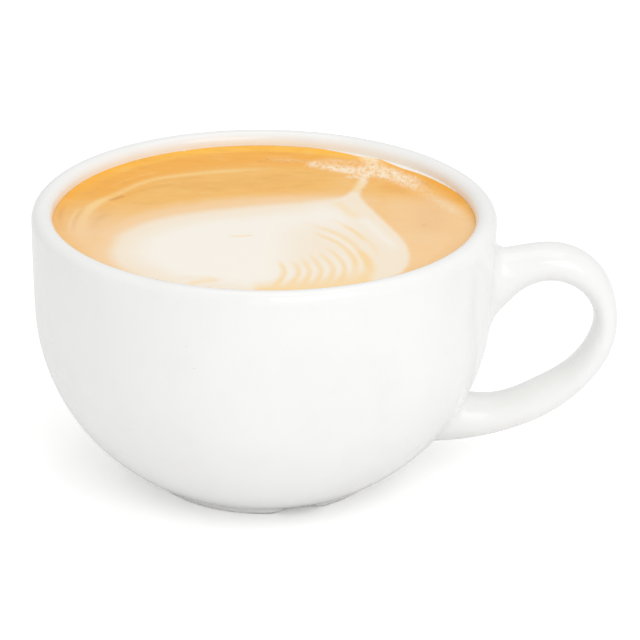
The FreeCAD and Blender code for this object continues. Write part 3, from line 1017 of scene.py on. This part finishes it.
@dataclass(frozen=True)
class Layout:
    """How crema, milk and froth lie on the drink, seen from above."""

    offset: tuple[float, float] = (0.0, 1.6)
    figure: Line = (
        (-33.0, -18), (-32, -12), (-27, -5), (-22, -1), (-15, 2.5), (-8, 5), (0, 7.5), (8, 9.5),
        (13, 11.4), (17.4, 13.2), (19.7, 17.2), (20.8, 21), (21.4, 24.2), (22.4, 25.6), (23.4, 24.4),
        (22.9, 21.2), (21.9, 17.6), (21.8, 13.6), (22.7, 10), (24.2, 6), (25.9, 1.5), (28, -4),
        (30.2, -10.1), (31.8, -16), (32.3, -22), (31.8, -28), (28.9, -33.8), (21, -39), (12, -44),
        (0, -47), (-12, -46), (-21, -42), (-28, -35), (-32, -29), (-33.5, -23),
    )
    pale: tuple[Stroke, ...] = (
        Stroke(((-42, -8), (-40, 5), (-35, 12), (-28, 21.5), (-20, 26), (-10, 29), (0, 31), (8, 31.5)),
               1.4, 0.6),
        Stroke(((-43.4, -14), (-43.6, -4), (-42, 6)), 0.55, 0.6),
        Stroke(((-40.6, -18), (-41, -6), (-39.4, 4), (-35, 12)), 1.5, 0.7),
        Stroke(((-34.6, -2), (-35.4, -10), (-34.4, -18)), 0.8, 0.3),
        Stroke(((-38, 15), (-31, 24), (-22, 30)), 0.7, 0.3),
        Stroke(((43, -18), (45, -8), (45, 2), (43, 12)), 2.2, 0.4),
        Stroke(((22.4, 43.5), (23.8, 40), (24.6, 36.5)), 1.7, 0.9, 0.1),
    )
    deep: tuple[Stroke, ...] = (
        Stroke(((-35.5, 9), (-33, 11.5)), 0.6, 0.8, 0.0),
        Stroke(((-34, 10), (-29, 15.5), (-24, 19), (-17, 22)), 1.0, 0.3),
        Stroke(((-31, 14), (-20, 18), (-8, 21), (4, 24), (14, 25)), 4.5, 0.25),
        Stroke(((25, 21.6), (28.8, 19.4), (35, 15)), 2.4, 0.3),
        Stroke(((34, 18), (38, 8), (38, -4), (35, -20)), 6.0, 0.3),
        Stroke(((33, -14), (36.5, -5), (38, 5), (36, 13)), 3.6, 0.2),
        Stroke(((-45.5, 6), (-46.3, 0), (-45.5, -8)), 0.7, 0.35),
        Stroke(((-43, -14), (-41.5, -4), (-36, 6)), 6.0, 0.38),
        Stroke(((-37.4, -18), (-37.8, -6), (-35, 3)), 1.0, 0.35),
        Stroke(((-42.4, -12), (-42.6, -4), (-41, 4)), 0.4, 0.4),
        Stroke(((-40, -24), (-35.5, -30.5), (-29, -37)), 1.6, 0.4),
        Stroke(((36, -30.5), (41, -23), (44.5, -15)), 1.6, 0.3),
        Stroke(((36, -4), (36.2, -3)), 0.45, 0.8, 0.0),
        Stroke(((19.6, 29.8), (19.8, 30.8)), 0.4, 1.0, 0.0),
        Stroke(((10, 35.4), (11.4, 34.6)), 0.6, 0.6, 0.0),
        Stroke(((5.6, 37), (7, 36.2)), 0.5, 0.5, 0.0),
        Stroke(((1.6, 37.2), (3, 36.8)), 0.5, 0.4, 0.0),
        Stroke(((-2, 36.4), (-0.8, 36)), 0.5, 0.5, 0.0),
        Stroke(((-0.6, 37.6), (0, 37.4)), 0.35, 0.7, 0.0),
        Stroke(((4, 36), (4.8, 35.8)), 0.35, 0.7, 0.0),
        Stroke(((8.4, 37), (9, 36.8)), 0.35, 0.7, 0.0),
        Stroke(((13, 34.8), (13.8, 34.4)), 0.35, 0.8, 0.0),
        Stroke(((16.4, 32.4), (17, 32.2)), 0.35, 0.8, 0.0),
        Stroke(((-33, 33), (-26, 37), (-17, 40)), 3.0, 0.2),
        Stroke(((30, 30), (35, 25.5), (40, 18)), 0.7, 0.35),
    )
    ripple: tuple[Stroke, ...] = (
        Stroke(((6, 1), (11.8, -5.5), (15.9, -9), (19.4, -14.5), (21.8, -21.5), (23.4, -29), (23.2, -37)),
               1.1, 0.6),
        Stroke(((20.5, -18), (22.6, -24), (23.4, -31), (22.4, -38.5)), 2.0, 0.55),
        Stroke(((9, -6), (12.8, -10.8), (16.8, -15.4), (19.6, -22.4), (20.4, -29.3), (19, -38)), 0.85, 0.7),
        Stroke(((12, -15), (15.7, -21), (17.9, -27.7), (18, -34), (16.2, -40.5)), 0.85, 0.65),
        Stroke(((11, -19), (14.2, -25), (15.6, -31.8), (13.6, -41)), 0.8, 0.6),
        Stroke(((9.5, -20), (12, -27), (13, -33.1), (11, -41.5)), 0.8, 0.6),
        Stroke(((7.5, -22), (9.9, -28.6), (10.4, -34.3), (8.4, -42)), 0.8, 0.6),
        Stroke(((5.5, -24), (7.9, -30), (7.9, -35.5), (5.4, -42.5)), 0.8, 0.65),
        Stroke(((2.6, -24), (4.7, -30), (4.7, -35.5), (2.2, -42.8)), 0.85, 0.65),
        Stroke(((17, -2), (19.5, -6.5), (22.5, -12), (25, -19), (26, -27)), 1.0, 0.4),
        Stroke(((13, 2), (17.5, -4), (21, -10), (23.4, -17)), 0.7, 0.35),
        Stroke(((15.6, 12), (17, 8.5), (18.6, 4.9), (20.6, 1.2), (23, -2.8)), 1.9, 0.5),
        Stroke(((-3, -43.5), (8.7, -41), (17.2, -38.6), (25, -35)), 4.6, 0.6, 0.1),
        Stroke(((-3, -44.5), (8.7, -43.4), (17.2, -41.4), (25, -37.6)), 2.0, 0.6, 0.1),
        Stroke(((20.4, 15), (21.2, 20), (22.3, 26)), 1.6, 0.75),
        Stroke(((-9, -12.6), (-5, -12), (-1, -11)), 0.6, 0.6),
        Stroke(((-17, -41), (-12.5, -38.5), (-7, -37)), 1.3, 0.55),
        Stroke(((-21, -38), (-14, -36.4), (-8, -36)), 0.8, 0.3),
    )
    white: tuple[Stroke, ...] = (
        Stroke(((21, 3), (23, -1.8), (25.7, -9), (28.3, -15), (30, -22)), 1.5, 0.7),
        Stroke(((2.2, -14), (2.4, -26), (1.2, -38)), 1.0, 0.5),
        Stroke(((13, 10.5), (12, 4), (8, -2)), 3.0, 0.5),
        Stroke(((11, -8), (14.4, -10.4), (18.2, -15.6), (20.8, -22.2), (21.7, -29), (20.8, -36)), 0.55, 0.5),
        Stroke(((15, -18), (18, -24), (19.1, -30), (18.1, -37)), 0.55, 0.45),
        Stroke(((14.6, -22), (16.8, -29), (16.2, -37)), 0.5, 0.4),
        Stroke(((12.6, -24), (14.2, -31), (12.7, -38.5)), 0.5, 0.4),
        Stroke(((10, -26), (11.6, -32), (10, -39.5)), 0.5, 0.4),
        Stroke(((8.2, -27), (9.1, -33), (7, -40)), 0.5, 0.4),
        Stroke(((5.4, -28), (6.3, -34), (4.2, -40)), 0.5, 0.4),
    )
    froth: tuple[Stroke, ...] = (
        Stroke(((9, 36), (12.1, 34.4), (17.2, 32.6), (20, 31.9), (25, 31.6)), 2.3, 0.85, 0.15),
        Stroke(((13, 33), (17.2, 30.8), (21, 29.6), (25, 29.5)), 1.2, 0.9, 0.15),
        Stroke(((22.5, 30.2), (27.4, 28.2), (30.5, 25.9), (33.5, 22.4), (40, 14)), 2.4, 0.9),
        Stroke(((22.8, 43), (24.3, 39), (25, 35), (25.1, 31)), 2.3, 0.9, 0.1),
        Stroke(((21.6, 25), (22.6, 27.5), (24, 30)), 1.6, 0.6, 0.1),
        Stroke(((18, 25.4), (20.6, 27), (26, 27)), 1.1, 0.55),
        Stroke(((26, 35), (31, 29.5), (37, 22)), 1.6, 0.5),
        Stroke(((24, 32), (27, 30), (30, 28)), 2.4, 0.85, 0.1),
        Stroke(((-3, 37.6), (3, 37.4), (9, 36.4), (12, 35.2)), 1.3, 0.2),
        Stroke(((12, 38.5), (18, 37), (23, 36)), 1.4, 0.4),
        Stroke(((36, 17), (41, 10), (44, 2)), 1.6, 0.35),
    )
    # Milky film that clings to the wall: its width in each direction, in degrees from the handle. A
    # width below 0 leaves none.
    film: Line = (
        (-90, -0.6), (5, -0.6), (18, -0.1), (30, 0.4), (40, 0.7), (47, 1.1), (52, 0.7), (56, 0.1),
        (63, 0.7), (71, 0.3), (80, -0.3), (90, -0.6), (113, -0.6), (115, 0.3), (117, -0.6), (270, -0.6),
    )
    # How soft the film's edge is, and how strongly each tint shows or fades.
    film_edge: float = 0.3
    band_gold: float = 0.95
    rim_gold: float = 0.35
    left_fade: float = 0.75
    softest: float = 0.45
    crispness: float = 0.9
    halo: float = 0.95
    halo_right_fade: float = 0.35
    halo_tip_fade: float = 0.8
    front: float = 0.8
    right: float = 0.68
    right_slant: float = 0.22

    def fields(self, places: np.ndarray, radius: float) -> dict[str, np.ndarray]:
        """Work out what the finish needs at each place.

        Args:
            places: Places on the drink, one to a row.
            radius: The drink's radius at the wall.

        Returns:
            The name of each set of numbers, and the numbers.
        """
        out = np.hypot(places[:, 0], places[:, 1])
        turn = np.degrees(np.arctan2(places[:, 1], places[:, 0]))
        turn = np.where(turn < -90, turn + 360, turn)
        places = places - np.array(self.offset)
        x, y = places.T

        # Each ramp runs from its first number to its second: degrees from the handle for a turn, and
        # millimetres for the others, with out - radius negative inside the wall.
        past = out - radius
        band = smoothstep(out, 31.0, 38.5) * smoothstep(turn, -10, 50) * smoothstep(turn, 205, 150)
        rim = smoothstep(past, -3.2, -1.0)
        left = smoothstep(turn, 158, 182)
        back_rim = smoothstep(past, -4.5, -2.0) * smoothstep(turn, 40, 75) * smoothstep(turn, 185, 105)
        near_front = smoothstep(y, 12, -12) * smoothstep(past, 2.5, -6.0)
        near_right = (smoothstep(x, 20, 30) * smoothstep(y, 22, 7)
                      * smoothstep(past + self.right_slant * y, 1.5, -2.5))
        halo = self.halo - self.halo_right_fade * smoothstep(x, 18, 26)
        width = np.interp(turn, *np.array(self.film).T)
        result = {
            "gold": np.clip(self.band_gold * band + self.rim_gold * rim, 0, 1) * (1 - self.left_fade * left),
            "bright": back_rim,
            "figure": outline_distance(places, smooth_curve(self.figure, 6, closed=True)),
            "softness": self.softest + self.crispness * smoothstep(x, 14, 22),
            "halo": halo * (1 - self.halo_tip_fade * smoothstep(y, 11, 18)),
            "front": np.maximum(self.front * near_front, self.right * near_right),
            "warm": smoothstep(x, -1, 12) * smoothstep(y, 5, -14),
            "film": smoothstep(past + width, -self.film_edge, self.film_edge),
        }
        for name in ("pale", "deep", "ripple", "white", "froth"):
            result[name] = np.clip(sum(stroke.over(places) for stroke in getattr(self, name)), 0, 1)
        return result


@dataclass
class Drink:
    """The drink: a fine flat top that climbs a little at the wall, on a body that fills the bowl."""

    cup: Cup
    rise: float = 0.4
    rise_width: float = 2.2
    into_wall: float = 0.15
    cells: int = 236
    side_start: float = 1.0
    side_steps: int = 40
    side_rows: int = 10
    layout: Layout = field(default_factory=Layout)
    finish: FoamFinish = field(default_factory=FoamFinish)

    def __post_init__(self) -> None:
        """Take the drink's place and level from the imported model."""
        low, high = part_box(Node.DRINK.value)
        self.radius = (high.x - low.x) / 2 / MM
        self.level = high.z / MM - self.rise

    def height_at(self, out: np.ndarray) -> np.ndarray:
        """Find the drink's height at a distance from the axis."""
        climb = np.clip((out - self.radius + self.rise_width) / self.rise_width, 0, 1)
        return self.level + self.rise * climb ** 2

    def top_places(self) -> np.ndarray:
        """Spread a square net of points over a disk, with the net's edge on the disk's edge.

        Returns:
            The places about the cup's axis, one to a row.
        """
        line = np.linspace(-1, 1, self.cells + 1)
        across, along = np.meshgrid(line, line, indexing="ij")
        turn_x = across * np.sqrt(1 - along ** 2 / 2)
        turn_y = along * np.sqrt(1 - across ** 2 / 2)
        return np.column_stack((turn_x.ravel(), turn_y.ravel())) * (self.radius + self.into_wall)

    def side_profile(self) -> list[tuple[float, float]]:
        """Draw the drink's side, just inside the bowl's wall.

        Returns:
            How far out and how high each row of points lies, from under the edge to the bottom.
        """
        wall = self.cup.bowl_side(self.side_steps)
        wall = wall[wall[:, 1] < self.level - self.side_start]
        picked = wall[np.linspace(0, len(wall) - 1, self.side_rows).astype(int)]
        return [(across + self.into_wall, up - self.into_wall / 2) for across, up in picked]

    def build(self) -> bpy.types.Object:
        """Make the drink as one closed mesh, and lay the figure out on its top.

        Returns:
            The drink.
        """
        places = self.top_places()
        points = [np.column_stack((places, self.height_at(np.hypot(places[:, 0], places[:, 1]))))]
        count = self.cells + 1
        number = np.arange(count * count).reshape(count, count)
        edge = np.concatenate((number[:-1, 0], number[-1, :-1], number[:0:-1, -1], number[0, :0:-1]))
        faces = net_faces(count).tolist()
        total = count * count
        ring = edge
        wall = self.side_profile()
        for across, up in wall:
            share = across / (self.radius + self.into_wall)
            points.append(np.column_stack((places[edge] * share, np.full(len(edge), up))))
            below = np.arange(total, total + len(edge))
            faces += np.column_stack((ring, below, np.roll(below, -1), np.roll(ring, -1))).tolist()
            ring = below
            total += len(edge)
        points.append(np.array([[0.0, 0.0, wall[-1][1]]]))
        faces += np.column_stack((ring, np.full(len(ring), total), np.roll(ring, -1))).tolist()
        stacked = np.vstack(points)
        mesh = mesh_from("crema_and_milk", (stacked + [self.cup.axis, 0, 0]) * MM, faces)
        for name, values in self.layout.fields(stacked[:, :2], self.radius).items():
            write_numbers(mesh, name, values)
        mesh.materials.append(self.finish.material())
        made = new_object("crema_and_milk", mesh)
        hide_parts(Node.DRINK.value)
        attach(made, BODY)
        return made


@dataclass
class Froth:
    """Standing bubbles in the froth at the back and along the wall, scattered by Geometry Nodes."""

    drink: Drink
    radius: float = 0.34
    smallest: float = 0.35
    density: float = 0.55
    seed: int = 7
    segments: int = 9
    rings: int = 6
    sheet_reach: float = 46.0
    sheet_step: float = 1.0
    sheet_gap: float = 0.8
    sink: float = 0.03
    gathering: float = 1.5
    size_skew: float = 2.0
    wall_band: tuple[float, float] = (2.0, 0.9)
    wall_share: float = 0.12
    wall_turn: float = -20.0
    finish: BubbleFinish = field(default_factory=BubbleFinish)

    def tree(self) -> bpy.types.NodeTree:
        """Build the tree that scatters bubbles where the mesh's number for froth is high.

        Returns:
            The tree.
        """
        tree = bpy.data.node_groups.new("froth_bubbles", "GeometryNodeTree")
        for name, kind in (("Geometry", "Geometry"), ("Bubble radius", "Float"), ("Smallest share", "Float"),
                           ("Bubbles per area", "Float"), ("Skin", "Material")):
            tree.interface.new_socket(name, in_out="INPUT", socket_type=f"NodeSocket{kind}")
        tree.interface.new_socket("Geometry", in_out="OUTPUT", socket_type="NodeSocketGeometry")

        def add(kind: str, sockets: Sockets, output: str | int = 0,
                **settings: object) -> bpy.types.NodeSocket:
            """Add a node and give one of its outputs."""
            return add_node(tree, kind, settings, sockets).outputs[output]

        given = add_node(tree, "NodeGroupInput").outputs
        froth = add("GeometryNodeInputNamedAttribute", {"Name": "froth"}, "Attribute", data_type="FLOAT")
        amount = add("ShaderNodeMath", {0: froth, 1: given["Bubbles per area"]}, operation="MULTIPLY")
        points = add("GeometryNodeDistributePointsOnFaces", {
            "Mesh": given["Geometry"], "Density": amount, "Seed": self.seed}, "Points")
        size = add("FunctionNodeRandomValue", {
            2: given["Smallest share"], 3: 1.0, "Seed": self.seed + 1}, 1, data_type="FLOAT")
        skewed = add("ShaderNodeMath", {0: size, 1: self.size_skew}, operation="POWER")
        ball = add("GeometryNodeMeshUVSphere", {
            "Segments": self.segments, "Rings": self.rings, "Radius": given["Bubble radius"]}, "Mesh")
        placed = add("GeometryNodeInstanceOnPoints", {"Points": points, "Instance": ball, "Scale": skewed})
        real = add("GeometryNodeRealizeInstances", {"Geometry": placed})
        smooth = add("GeometryNodeSetShadeSmooth", {"Geometry": real})
        skin = add("GeometryNodeSetMaterial", {"Geometry": smooth, "Material": given["Skin"]})
        add_node(tree, "NodeGroupOutput", None, {0: skin})
        return tree

    def sheet(self) -> bpy.types.Mesh:
        """Make the coarse net over the drink's top on which the bubbles stand.

        Returns:
            The net, with its number for froth.
        """
        span = np.arange(-self.sheet_reach, self.sheet_reach + 0.01, self.sheet_step)
        across, along = np.meshgrid(span, span, indexing="ij")
        places = np.column_stack((across.ravel(), along.ravel()))
        out = np.hypot(places[:, 0], places[:, 1])
        edge = self.drink.radius
        faces = net_faces(len(span))
        kept = (out[faces] < edge - self.sheet_gap).all(1)
        heights = self.drink.height_at(out) - self.sink
        points = (np.column_stack((places, heights)) + [self.drink.cup.axis, 0, 0]) * MM
        mesh = mesh_from("froth_sheet", points, faces[kept])
        turn = np.degrees(np.arctan2(places[:, 1], places[:, 0]))
        far, near = self.wall_band
        wall = smoothstep(out, edge - far, edge - near) * (turn > self.wall_turn) * self.wall_share
        froth = self.drink.layout.fields(places, edge)["froth"]
        write_numbers(mesh, "froth", np.clip(froth ** self.gathering + wall, 0, 1))
        return mesh

    def build(self) -> bpy.types.Object:
        """Scatter the bubbles and keep them as one plain mesh.

        Returns:
            The bubbles.
        """
        sheet = new_object("froth_sheet", self.sheet())
        scatter = sheet.modifiers.new("bubbles", "NODES")
        scatter.node_group = self.tree()
        values = {"Bubble radius": self.radius * MM, "Smallest share": self.smallest,
                  "Bubbles per area": self.density / MM ** 2, "Skin": self.finish.material()}
        for item in scatter.node_group.interface.items_tree:
            if item.in_out == "INPUT" and item.name in values:
                scatter[item.identifier] = values[item.name]
        mesh = evaluated_mesh(sheet)
        sheet.modifiers.clear()
        bpy.data.objects.remove(sheet)
        mesh.name = "froth_bubbles"
        made = new_object("froth_bubbles", mesh)
        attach(made, BODY)
        return made


# ---------------------------------------------------------------------------------------------
# The studio


@dataclass(frozen=True)
class Lamp:
    """A soft square lamp that faces the cup, with its power in watts."""

    name: str
    place: Triple
    size: float
    power: float
    aim_height: float = 30.0

    def build(self, axis: float) -> None:
        """Hang the lamp.

        Args:
            axis: How far the cup's axis lies along X, in millimetres.
        """
        data = bpy.data.lights.new(self.name, "AREA")
        data.size = self.size * MM
        data.energy = self.power
        lamp = new_object(self.name, data)
        spot = (Vector(self.place) + Vector((axis, 0, 0))) * MM
        aim = Vector((axis, 0, self.aim_height)) * MM - spot
        lamp.matrix_world = Matrix.Translation(spot) @ aim.to_track_quat("-Z", "Y").to_matrix().to_4x4()


@dataclass
class Studio:
    """A plain pale floor, soft light from the front and above, and the camera."""

    axis: float
    tilt: float = 23.246
    roll: float = 0.898
    spot: Triple = (12.9, -653.3, 317.4)
    lens: float = 174.53
    sensor: float = 36.0
    sight: tuple[float, float] = (50.0, 20000.0)
    floor_reach: float = 6000.0
    floor_glow: float = 0.25
    floor_colour: Colour = (0.985, 0.985, 0.985)
    floor_shade: Colour = (0.96, 0.96, 0.955)
    floor_grain: float = 180.0
    world_strength: float = 0.745
    lamps: tuple[Lamp, ...] = (
        Lamp("key", (500, -950, 950), 900, 4.8),
        Lamp("fill", (250, -1270, 160), 800, 0.9),
        Lamp("top", (100, 250, 1200), 800, 1.5),
    )

    def build_camera(self) -> None:
        """Place the camera, which looks down on the cup from the front."""
        tilt, roll = math.radians(self.tilt), math.radians(self.roll)
        forward = Vector((0, math.cos(tilt), -math.sin(tilt)))
        level = Vector((1, 0, 0))
        upward = Vector((0, math.sin(tilt), math.cos(tilt)))
        right = math.cos(roll) * level + math.sin(roll) * upward
        up = math.cos(roll) * upward - math.sin(roll) * level
        data = bpy.data.cameras.new("camera")
        data.lens = self.lens
        data.sensor_width = self.sensor
        data.clip_start, data.clip_end = (reach * MM for reach in self.sight)
        camera = new_object("camera", data)
        turned = Matrix((right, up, -forward)).transposed().to_4x4()
        place = (Vector(self.spot) + Vector((self.axis, 0, 0))) * MM
        camera.matrix_world = Matrix.Translation(place) @ turned
        bpy.context.scene.camera = camera

    def build_floor(self) -> None:
        """Lay a wide pale floor that reads as white and keeps a soft shadow."""
        corners = np.array([(-1, -1, 0), (1, -1, 0), (1, 1, 0), (-1, 1, 0)]) * self.floor_reach * MM
        floor = new_object("floor", mesh_from("floor", corners, [(0, 1, 2, 3)]))
        shading = Shading(bpy.data.materials.new("pale_floor"))
        grain = shading.noise(self.floor_grain, 3.0) * 0.02
        paint = shading.mix(grain, self.floor_colour, self.floor_shade)
        seen = shading.wire("ShaderNodeLightPath", output="Is Camera Ray") * self.floor_glow
        matt = shading.wire("ShaderNodeBsdfDiffuse", None, {"Color": paint})
        glow = shading.wire("ShaderNodeEmission", None, {"Color": WHITE, "Strength": seen})
        lifted = shading.wire("ShaderNodeAddShader", None, {0: matt, 1: glow})
        floor.data.materials.append(shading.finish(lifted))

    def build_world(self) -> None:
        """Surround the scene with soft white light, and show white wherever it is seen."""
        shading = Shading(bpy.data.worlds.new("studio"))
        soft = shading.wire("ShaderNodeBackground", None, {"Color": WHITE, "Strength": self.world_strength})
        plain = shading.wire("ShaderNodeBackground", None, {"Color": WHITE, "Strength": 1.0})
        direct = shading.wire("ShaderNodeLightPath", output="Is Camera Ray")
        through = shading.wire("ShaderNodeLightPath", output="Is Transmission Ray")
        seen = shading.maths("MAXIMUM", direct, through)
        mixed = shading.wire("ShaderNodeMixShader", None, {0: seen, 1: soft, 2: plain})
        bpy.context.scene.world = shading.finish(mixed, Output.WORLD)

    def build(self) -> None:
        """Set up floor, light, camera and view."""
        self.build_floor()
        self.build_world()
        self.build_camera()
        for lamp in self.lamps:
            lamp.build(self.axis)
        bpy.context.scene.view_settings.view_transform = "Standard"


def main() -> None:
    """Build the cup, the drink, its froth and the studio, in that order."""
    logging.basicConfig(level=logging.INFO, format="%(name)s: %(message)s")
    cup = Cup()
    drink = Drink(cup)
    for builder in (cup, drink, Froth(drink)):
        piece = builder.build()
        LOG.info("%s: %d faces", piece.name, len(piece.data.polygons))
    Studio(cup.axis).build()
    LOG.info("studio: floor, lamps, world and camera are set")


if __name__ == "__main__":
    main()
